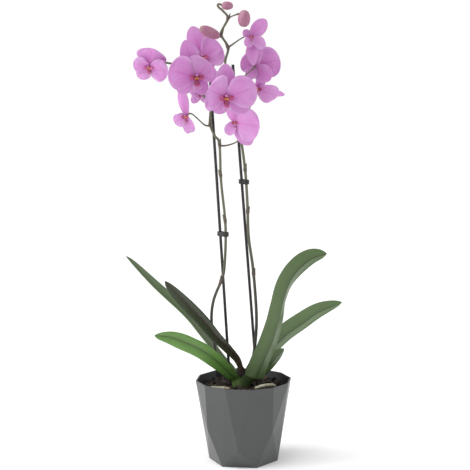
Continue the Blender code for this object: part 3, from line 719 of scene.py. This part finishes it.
def make_bark():
    """Loose chips on the CAD model's bark, which keeps its own mesh."""
    finish = bark_finish()
    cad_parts["bark_mix"].material_slots[0].material = finish
    low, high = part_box("bark_mix")
    reach = 0.5 * (high[0] - low[0]) - RIM_CLEARANCE
    draw = random.Random(11)
    shape = new_shape()
    tone = shape.verts.layers.float.new("chip")
    for _ in range(BARK_CHIPS):
        radius = reach * math.sqrt(draw.random())
        angle = draw.uniform(0, 2 * math.pi)
        height = high[2] - 0.0015 + draw.uniform(-0.0005, 0.0035)
        centre = Vector((radius * math.cos(angle), radius * math.sin(angle), height))
        turn = (
            Matrix.Rotation(draw.uniform(0, 2 * math.pi), 3, "Z")
            @ Matrix.Rotation(draw.gauss(0, CHIP_LEAN), 3, "X")
            @ Matrix.Rotation(draw.gauss(0, CHIP_LEAN), 3, "Y")
        )
        size = draw.uniform(0.55, 1.15)
        shade = draw.random() ** 2
        chip = []
        for _ in range(CHIP_POINTS):
            spot = Vector([draw.uniform(-0.5, 0.5) * s * MM * size for s in CHIP_SIZE])
            chip.append(shape.verts.new(centre + turn @ spot))
            chip[-1][tone] = shade
        hull = bmesh.ops.convex_hull(shape, input=chip)
        inside = [v for v in hull["geom_interior"] if isinstance(v, bmesh.types.BMVert)]
        bmesh.ops.delete(shape, geom=inside, context="VERTS")
    chips = to_object("look_bark_chips", shape, [finish])
    chips.data.shade_flat()
    worn = chips.modifiers.new("worn_edges", "BEVEL")
    worn.width = CHIP_EDGE
    worn.segments = 1
    show(chips, "bark_brown")


def make_roots():
    finish = root_finish()
    for number, (name, points) in enumerate(ROOTS.items()):
        route = smooth_route([mm(p) for p in points], 40)
        shape = new_shape()

        def radius(share):
            lump = noise.noise(Vector((share * 7, number, 0.5)))
            ends = min(1.0, 0.55 + 6 * min(share, 1 - share))
            return ROOT_RADIUS * ends * (1 + 0.22 * lump)

        add_tube(shape, route, radius, 14)
        show(to_object(f"look_{name}", shape, [finish]), "root_pale", name)


# --- leaves ---


def strap_width(share, base):
    """Half width of a strap leaf along its length, as a share of the widest."""
    if share < LEAF_WIDEST:
        return base + (1 - base) * math.sin(0.5 * math.pi * share / LEAF_WIDEST)
    return max(0.03, (1 - ((share - LEAF_WIDEST) / (1 - LEAF_WIDEST)) ** 2.3) ** 0.60)


def side_direction(sides, share):
    """Between the side directions at a leaf's base, middle and tip."""
    low, middle, high = [Vector(side) for side in sides]
    if share < 0.5:
        return low.lerp(middle, 2 * share)
    return middle.lerp(high, 2 * share - 1)


def leaf_rows(name, points, sides, width, base, fold):
    """Rows of points along a leaf's upper side and, in the same order, its underside."""
    line = smooth_route([mm(p) for p in points], LEAF_ROWS + 1)
    seed = sum(ord(letter) for letter in name)
    upper, under = [], []
    for i, place in enumerate(line):
        share = i / LEAF_ROWS
        ahead = (line[min(i + 1, LEAF_ROWS)] - line[max(i - 1, 0)]).normalized()
        side = side_direction(sides, share)
        side = (side - ahead * side.dot(ahead)).normalized()
        normal = side.cross(ahead)
        half = 0.5 * width * MM * strap_width(share, base)
        body = LEAF_THICKNESS * (1.30 - 0.60 * share)
        top_row, low_row = [], []
        for j in range(-LEAF_HALVES, LEAF_HALVES + 1):
            across = math.sin(0.5 * math.pi * j / LEAF_HALVES)
            wave = 0.05 * half * noise.noise(Vector((share * 5, across * 1.2, seed)))
            rise = fold * half * (math.sqrt(across * across + 0.012) - 0.11) + wave
            droop = -0.12 * half * across ** 4
            spot = place + side * across * half + normal * (rise + droop)
            edge = math.sqrt(max(0.0, 1 - across * across))
            thick = body * (0.25 + 0.75 * edge) * min(1.0, half / (3 * body) + 0.15)
            top_row.append(spot)
            low_row.append(spot - normal * thick * (0.12 + 0.88 * edge))
        upper.append(top_row)
        under.append(low_row)
    return upper, under


def clasping_rows(upper, under):
    """Rows that lead from an arc around the crown's foot to the leaf's first row."""
    middle = 0.5 * (upper[0][0] + upper[0][-1]) - CROWN_AXIS
    bearing = math.atan2(middle.y, middle.x)
    width = upper[0][-1] - upper[0][0]
    turn = 1 if width.dot(Vector((-math.sin(bearing), math.cos(bearing), 0))) > 0 else -1
    last = len(upper[0]) - 1
    inner_rows, outer_rows = [], []
    for k in range(SHEATH_ROWS):
        share = k / SHEATH_ROWS
        ease = share * share * (3 - 2 * share)
        inner, outer = [], []
        for j in range(last + 1):
            angle = bearing + turn * SHEATH_SPREAD * (2 * j / last - 1)
            out = Vector((math.cos(angle), math.sin(angle), 0))
            foot = Vector((CROWN_AXIS.x, CROWN_AXIS.y, SHEATH_FOOT))
            near = foot + out * SHEATH_RADIUS
            edge = math.sin(math.pi * j / last) ** 0.5
            far = near + out * (0.0003 + SHEATH_THICKNESS * edge)
            climb = Vector((0, 0, (upper[0][j].z - SHEATH_FOOT) * share))
            inner.append((near + climb).lerp(upper[0][j], ease))
            outer.append((far + climb).lerp(under[0][j], ease))
        inner_rows.append(inner)
        outer_rows.append(outer)
    return inner_rows + upper, outer_rows + under


def make_leaf(name, points, sides, width, base, fold):
    """A leaf whose blade runs down into a foot that wraps the crown."""
    upper, under = clasping_rows(*leaf_rows(name, points, sides, width, base, fold))
    shape = new_shape()
    tops = add_grid(shape, upper)
    lows = add_grid(shape, [list(reversed(row)) for row in under], material=1)
    for i in range(len(tops) - 1):
        shape.faces.new((tops[i][0], tops[i + 1][0], lows[i + 1][-1], lows[i][-1]))
        shape.faces.new((tops[i + 1][-1], tops[i][-1], lows[i][0], lows[i + 1][0]))
    shape.faces.new(list(reversed(tops[0])) + list(reversed(lows[0])))
    shape.faces.new(tops[-1] + lows[-1])
    bmesh.ops.recalc_face_normals(shape, faces=shape.faces)
    base_tone, tip_tone, under_tone = LEAF_TONES[name]
    leaf = to_object(f"look_{name}", shape, [
        leaf_finish(f"{name}_upper", base_tone, tip_tone),
        # the underside a fifth darker at its foot, the same painted shade low in the plant
        leaf_finish(f"{name}_under", tuple(0.8 * c for c in under_tone), under_tone),
    ])
    refine(leaf)
    show(leaf, "leaf_green", name)


# --- flowers ---


def flower_axes(facing):
    """Right, up and front of a flower, for someone it faces."""
    front = Vector(facing).normalized()
    up = (Vector((0, 0, 1)) - front * front.z).normalized()
    return up.cross(front), up, front


def lobe_width(share, claw, peak, point):
    if share < peak:
        return claw + (1 - claw) * math.sin(0.5 * math.pi * share / peak)
    return max(0.02, 1 - ((share - peak) / (1 - peak)) ** 2) ** point


def add_lobe(shape, hub, front, tip, width, form, seed, rows, halves):
    """A petal, sepal or lip lobe as a curved sheet from the hub to its tip."""
    claw, peak, point, arch, cup, ruffle = form
    length = tip.length
    out = tip.normalized()
    normal = (front - out * front.dot(out)).normalized()
    side = out.cross(normal)
    grid = []
    for i in range(rows + 1):
        share = 0.5 - 0.5 * math.cos(math.pi * i / rows)
        spot = hub + out * length * (LOBE_START + (1 - LOBE_START) * share)
        spot = spot + normal * arch * length * math.sin(math.pi * share)
        half = 0.5 * width * lobe_width(share, claw, peak, point)
        row = []
        for j in range(-halves, halves + 1):
            across = j / halves
            wave = noise.noise(Vector((share * 2.6, across * 2.2 + 7, seed)))
            frill = math.sin(share * 9 + seed + across * 2) * abs(across) ** 3
            rise = cup * half * across * across * math.sin(math.pi * min(1.0, share * 1.1))
            rise += ruffle * half * (0.8 * wave * (0.25 + abs(across)) * share + 0.25 * frill)
            row.append(spot + side * half * across + normal * rise)
        grid.append(row)
    add_grid(shape, grid)


def make_flower(name, centre, facing, size, sepals, petals, looks):
    front = Vector(facing).normalized()
    place = mm(centre)
    seed = 3 * int(name.split("_")[1])
    for part, lobes, form, hub in (
        ("sepal", sepals, SEPAL_SHAPE, place),
        ("petal", petals, PETAL_SHAPE, place + front * PETAL_STEP),
    ):
        shape = new_shape()
        for number, (tip, width) in enumerate(lobes):
            add_lobe(shape, hub, front, mm(tip), width * MM, form, seed + number, 24, 10)
        sheet = to_object(f"look_{name}_{part}s", shape, [looks[part]])
        thicken(sheet, PETAL_THICKNESS)
        show(sheet, f"{part}_pink", f"{name}_{part}s")
    make_lip(name, place, size, flower_axes(facing), looks)
    make_column(name, place, size, flower_axes(facing), looks)


def make_lip(name, place, size, axes, looks):
    """Two flared side lobes, an arrow-shaped middle one with two curled tendrils, and a callus."""

    def at(right, up, front):
        return (axes[0] * right + axes[1] * up + axes[2] * front) * MM * size

    hub = place + at(*LIP_HUB)
    shape = new_shape()
    right, up, front = SIDE_LOBE_TIP
    for turn in (-1, 1):
        inward = at(-turn * 0.45, 0.45, 0.75)
        add_lobe(shape, hub, inward, at(turn * right, up, front), SIDE_LOBE_WIDTH * MM * size,
                 SIDE_LOBE_SHAPE, 2, 12, 5)
    add_lobe(shape, hub, at(0, 0.6, 0.8), at(*MIDDLE_LOBE_TIP), MIDDLE_LOBE_WIDTH * MM * size,
             MIDDLE_LOBE_SHAPE, 3, 12, 5)
    lip = to_object(f"look_{name}_lip", shape, [looks["lip"]])
    thicken(lip, LIP_THICKNESS * size)
    show(lip, "lip_magenta", f"{name}_lip")
    shape = new_shape()
    for turn in (-1, 1):
        horn = [hub + at(turn * a, b, c) for a, b, c in CALLUS_HORN]
        add_tube(shape, smooth_route(horn, 12),
                 lambda t: CALLUS_RADIUS * size * math.sqrt(max(0.05, 1 - t * t)))
    callus = to_object(f"look_{name}_callus", shape, [looks["callus"]])
    show(callus, "lip_magenta")
    shape = new_shape()
    for turn in (-1, 1):
        curl = [hub + at(turn * a, b, c) for a, b, c in TENDRIL]
        add_tube(shape, smooth_route(curl, 24), lambda t: TENDRIL_RADIUS * size * (1 - 0.6 * t), 8)
    tendrils = to_object(f"look_{name}_tendrils", shape, [looks["cirrus"]])
    show(tendrils, "lip_magenta")


def make_column(name, place, size, axes, looks):
    """The rounded, slightly hooked column with its cap."""
    up, front = axes[1:]
    shape = new_shape()
    bend = [place + (front * a + up * b) * MM * size for a, b in COLUMN_BEND]

    def radius(share):
        swell = COLUMN_FOOT + COLUMN_SWELL * math.sin(math.pi * min(1.0, share * 1.15)) ** 2 * share
        tip = math.sqrt(max(0.04, 1 - max(0.0, (share - 0.82) / COLUMN_CAP) ** 2))
        return swell * tip * MM * size

    add_tube(shape, smooth_route(bend, 24), radius, 16)
    column = to_object(f"look_{name}_column", shape, [looks["column"]])
    show(column, "column_pink", f"{name}_column")


def make_bud(name, centre, axis, length, width, looks):
    """A closed bud: an egg with three shallow seams between its sepals."""
    along = Vector(axis).normalized()
    side = along.orthogonal().normalized()
    other = along.cross(side)
    rows, sides = 26, 36
    grid = []
    for i in range(rows + 1):
        share = i / rows
        t = math.pi * (0.02 + 0.96 * share)
        radius = 0.5 * width * MM * math.sin(t) ** 0.8 * (1.06 - 0.12 * share)
        offset = along * (-0.5 * length * MM * math.cos(t))
        row = []
        for j in range(sides + 1):
            a = 2 * math.pi * j / sides
            groove_and_its_shade = math.exp(-((math.sin(1.5 * a) / BUD_SEAM_WIDTH) ** 2))
            seam = 1 - BUD_SEAM_DEPTH * groove_and_its_shade * math.sin(t)
            row.append(mm(centre) + offset
                       + (side * math.cos(a) + other * math.sin(a)) * radius * seam)
        grid.append(row)
    shape = new_shape()
    rows_made = add_grid(shape, grid)
    shape.faces.new(list(reversed(rows_made[0][:-1])))
    shape.faces.new(rows_made[-1][:-1])
    bmesh.ops.remove_doubles(shape, verts=shape.verts, dist=WELD)
    bmesh.ops.recalc_face_normals(shape, faces=shape.faces)
    bud = to_object(f"look_{name}", shape, [looks["bud"]])
    show(bud, "bud_rose", name)


# --- stems ---


def stalk_end(flower):
    """The last two points of a flower's stalk, straight behind its centre."""
    centre, facing = FLOWERS[flower][:2]
    front = Vector(facing).normalized()
    return [mm(centre) - front * STALK_STRAIGHT, mm(centre) - front * STALK_END]


def reach_bud(places):
    """The same places, with the last one moved on into its bud."""
    return places[:-1] + [places[-1] + (places[-1] - places[-2]).normalized() * BUD_JOIN]


def make_spike(name, points, finish):
    """A spike, its jointed stem swollen and sheathed at the joints, with its flower stalks."""
    places = [mm(p) for p in points]
    if name == "flower_spike_right":
        places = reach_bud(places)
    route = smooth_route(places, 12 * len(points))
    heights = [h * MM for h in JOINTS[name]]
    shape = new_shape()
    last = len(route) - 1

    def closeness(place):
        return max(math.exp(-(((place.z - h) / JOINT_REACH) ** 2)) for h in heights)

    def radius(share):
        place = route[round(share * last)]
        return SPIKE_RADIUS * (1 - SPIKE_TAPER * share) * (1 + JOINT_SWELL * closeness(place))

    add_tube(shape, route, radius, 14)
    for height in heights:
        add_bract(shape, route, height)
    for flower, (owner, passed) in STALKS.items():
        if owner == name:
            add_stalk(shape, [mm(p) for p in passed] + stalk_end(flower))
    if name == "flower_spike_right":
        for passed in BUD_STALKS.values():
            add_stalk(shape, reach_bud([mm(p) for p in passed]))
    mark = shape.verts.layers.float.new("joint")
    for vert in shape.verts:
        vert[mark] = closeness(vert.co) if vert.co.z > 0.16 else 0.0
    spike = to_object(f"look_{name}", shape, [finish])
    show(spike, "spike_olive", name)


def add_bract(shape, route, height):
    """A small pointed sheath that clasps the stem above a joint."""
    i = min(range(len(route) - 6), key=lambda k: abs(route[k].z - height))
    start = route[i]
    ahead = (route[i + 1] - start).normalized()
    side = ahead.cross(Vector((0, 1, 0))).normalized()
    other = ahead.cross(side)
    turn = 1 if int(height * 1000) % 2 else -1
    grid = []
    for r in range(BRACT_ROWS + 1):
        share = r / BRACT_ROWS
        spread = BRACT_SPREAD * (1 - share) ** 0.6 + 0.05
        row = []
        for c in range(-BRACT_HALVES, BRACT_HALVES + 1):
            a = spread * c / BRACT_HALVES * 0.8
            out = side * turn * math.cos(a) + other * math.sin(a)
            row.append(start + ahead * BRACT_LENGTH * share + out * (0.0027 + 0.0008 * share))
        grid.append(row)
    inner = [[p - (p - start - ahead * (p - start).dot(ahead)).normalized() * BRACT_THICKNESS
              for p in reversed(row)] for row in grid]
    outer_rows = add_grid(shape, grid)
    inner_rows = add_grid(shape, inner)
    for k in range(BRACT_ROWS):
        shape.faces.new((outer_rows[k][0], outer_rows[k + 1][0],
                         inner_rows[k + 1][-1], inner_rows[k][-1]))
        shape.faces.new((outer_rows[k + 1][-1], outer_rows[k][-1],
                         inner_rows[k][0], inner_rows[k + 1][0]))
    shape.faces.new(outer_rows[0] + inner_rows[0])
    shape.faces.new(list(reversed(outer_rows[-1])) + list(reversed(inner_rows[-1])))


def add_stalk(shape, points):
    """A round stalk, thinnest at its middle."""

    def radius(share):
        return STALK_RADIUS * (1.25 - 0.5 * math.sin(math.pi * min(1, share * 1.1)))

    add_tube(shape, smooth_route(points, 8 * len(points)), radius)


def make_clip(name):
    """The CAD clip with softened edges and two finger tabs."""
    low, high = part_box(name)
    finish = clip_finish()
    shape = new_shape()
    shape.from_mesh(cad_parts[name].data)
    bmesh.ops.remove_doubles(shape, verts=shape.verts, dist=1e-5)
    ring = to_object(f"look_{name}", shape, [finish])
    ring.data.shade_flat()
    soft = ring.modifiers.new("soft_edges", "BEVEL")
    soft.width = CLIP_EDGE
    soft.segments = 2
    soft.limit_method = "ANGLE"
    show(ring, "clip_black", name)
    middle = 0.5 * (Vector(low) + Vector(high))
    shape = new_shape()
    for turn in (-1, 1):
        tab = [middle + Vector((turn * across, high[1] - middle.y + out, 0))
               for across, out in TAB_ROUTE]
        add_tube(shape, smooth_route(tab, 12), lambda t: TAB_RADIUS * (1 - 0.25 * t), flat=0.35)
    tabs = to_object(f"look_{name}_tabs", shape, [finish])
    show(tabs, "clip_black")


# --- room ---


def make_room():
    mesh = bpy.data.meshes.new("floor")
    corners = [(FLOOR_REACH * x, FLOOR_REACH * y, 0) for x, y in ((-1, -1), (1, -1), (1, 1), (-1, 1))]
    mesh.from_pydata(corners, [], [(0, 1, 2, 3)])
    floor = bpy.data.objects.new("floor", mesh)
    bpy.context.scene.collection.objects.link(floor)
    f = Finish("floor_white", 0.85)
    f.colour(f.mix(f.noise(f.place(), 1.5), (0.93, 0.93, 0.93), (0.95, 0.95, 0.95)))
    f.shader.inputs["Emission Color"].default_value = (1.0, 1.0, 1.0, 1.0)
    f.shader.inputs["Emission Strength"].default_value = FLOOR_GLOW
    mesh.materials.append(f.material)
    make_sky()
    for name, kind, place, size, power in LAMPS:
        light = bpy.data.lights.new(name, kind)
        light.energy = power
        if kind == "AREA":
            light.size = size
        else:
            light.angle = size
        lamp = bpy.data.objects.new(name, light)
        lamp.location = place
        lamp.rotation_euler = (LAMP_AIM - lamp.location).to_track_quat("-Z", "Y").to_euler()
        bpy.context.scene.collection.objects.link(lamp)
    bpy.context.scene.view_settings.view_transform = "Standard"


def make_sky():
    """Plain white to look at, and a softer light on the object."""
    world = bpy.data.worlds.new("studio")
    world.use_nodes = True
    tree = world.node_tree
    shown = tree.nodes["Background"]
    shown.inputs[1].default_value = 1.0
    shown.inputs[0].default_value = (1.0, 1.0, 1.0, 1.0)
    soft = tree.nodes.new("ShaderNodeBackground")
    soft.inputs[0].default_value = (1.0, 1.0, 1.0, 1.0)
    soft.inputs[1].default_value = SKY_LIGHT
    path = tree.nodes.new("ShaderNodeLightPath")
    chosen = tree.nodes.new("ShaderNodeMixShader")
    tree.links.new(path.outputs["Is Camera Ray"], chosen.inputs[0])
    tree.links.new(soft.outputs[0], chosen.inputs[1])
    tree.links.new(shown.outputs[0], chosen.inputs[2])
    tree.links.new(chosen.outputs[0], tree.nodes["World Output"].inputs[0])
    bpy.context.scene.world = world


def make_camera():
    data = bpy.data.cameras.new("camera")
    data.lens = CAMERA_LENS
    data.sensor_width = CAMERA_SENSOR
    camera = bpy.data.objects.new("camera", data)
    away = Vector((0, -math.cos(CAMERA_ELEVATION), math.sin(CAMERA_ELEVATION)))
    camera.location = CAMERA_TARGET + CAMERA_DISTANCE * away
    camera.rotation_euler = (-away).to_track_quat("-Z", "Y").to_euler()
    bpy.context.scene.collection.objects.link(camera)
    bpy.context.scene.camera = camera


def main():
    make_room()
    make_camera()
    make_pot()
    make_bark()
    make_roots()
    crown = leaf_finish("crown_look", (0.030, 0.060, 0.015), (0.055, 0.10, 0.030))
    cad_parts["plant_crown"].material_slots[0].material = crown
    for name, leaf in LEAVES.items():
        make_leaf(name, *leaf)
    looks = {
        "petal": petal_finish(
            "petal_pink_look", (0.60, 0.255, 0.58), (0.50, 0.105, 0.40), (0.60, 0.38, 0.63), 0.38
        ),
        "sepal": petal_finish(
            "sepal_pink_look", (0.57, 0.235, 0.55), (0.48, 0.11, 0.39), (0.56, 0.34, 0.58), 0.45
        ),
        "lip": lip_finish(),
        "callus": callus_finish(),
        "column": column_finish(),
        "cirrus": cirrus_finish(),
        "bud": bud_finish(),
    }
    for name, flower in FLOWERS.items():
        make_flower(name, *flower, looks)
    for name, bud in BUDS.items():
        make_bud(name, *bud, looks)
    stem = stem_finish("spike_olive_look", (0.055, 0.050, 0.045), (0.14, 0.14, 0.085),
                       (0.10, 0.065, 0.055))
    for name, points in SPIKES.items():
        make_spike(name, points, stem)
    stake = stake_finish()
    for name in ("stake_left", "stake_right"):
        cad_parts[name].material_slots[0].material = stake
    for name in ("clip_left", "clip_right"):
        make_clip(name)


main()
